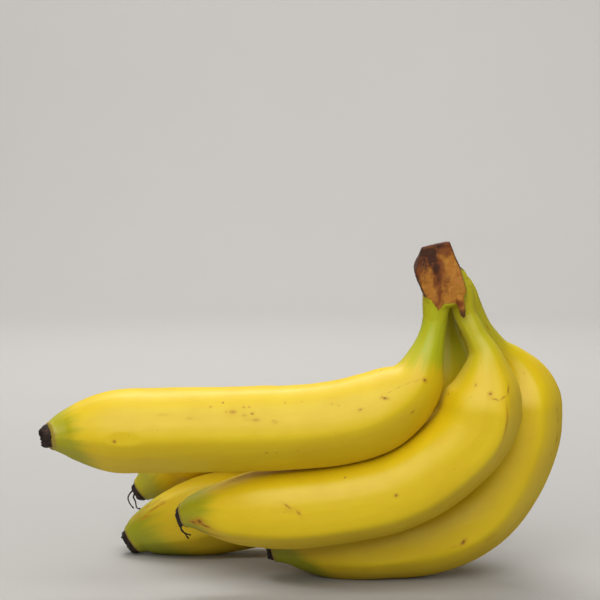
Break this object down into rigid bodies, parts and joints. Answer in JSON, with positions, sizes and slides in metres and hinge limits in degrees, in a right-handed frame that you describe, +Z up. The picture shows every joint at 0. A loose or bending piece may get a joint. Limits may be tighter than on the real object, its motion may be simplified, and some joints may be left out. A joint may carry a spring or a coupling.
{
  "type": "banana cluster",
  "caption": "Cluster of ripe curved bananas joined at a dried brown crown, lying on their outer sides with the crown up.",
  "frame": {"origin": "middle of the cluster's footprint box, on the surface that it lies on", "axes": "+X from the blossom ends towards the crown, along the cluster's length, +Y from the front of the cluster to its back, +Z up"},
  "size_m": [0.2348, 0.1474, 0.1572],
  "materials": {
    "peel": "waxy satin yellow peel, green at the neck and at the blossom end",
    "crown": "dried, fibrous, dull brown",
    "dried_blossom": "withered, dull brown-black"
  },
  "bodies": {
    "root": {"crown": "crown", "banana_upper_front": "peel", "banana_lower_front": "peel", "banana_bottom": "peel", "banana_lower_back": "peel", "banana_upper_back": "peel", "blossom_end_upper_front": "dried_blossom", "blossom_end_lower_front": "dried_blossom", "blossom_end_bottom": "dried_blossom", "blossom_end_lower_back": "dried_blossom", "blossom_end_upper_back": "dried_blossom"}
  },
  "joints": []
}
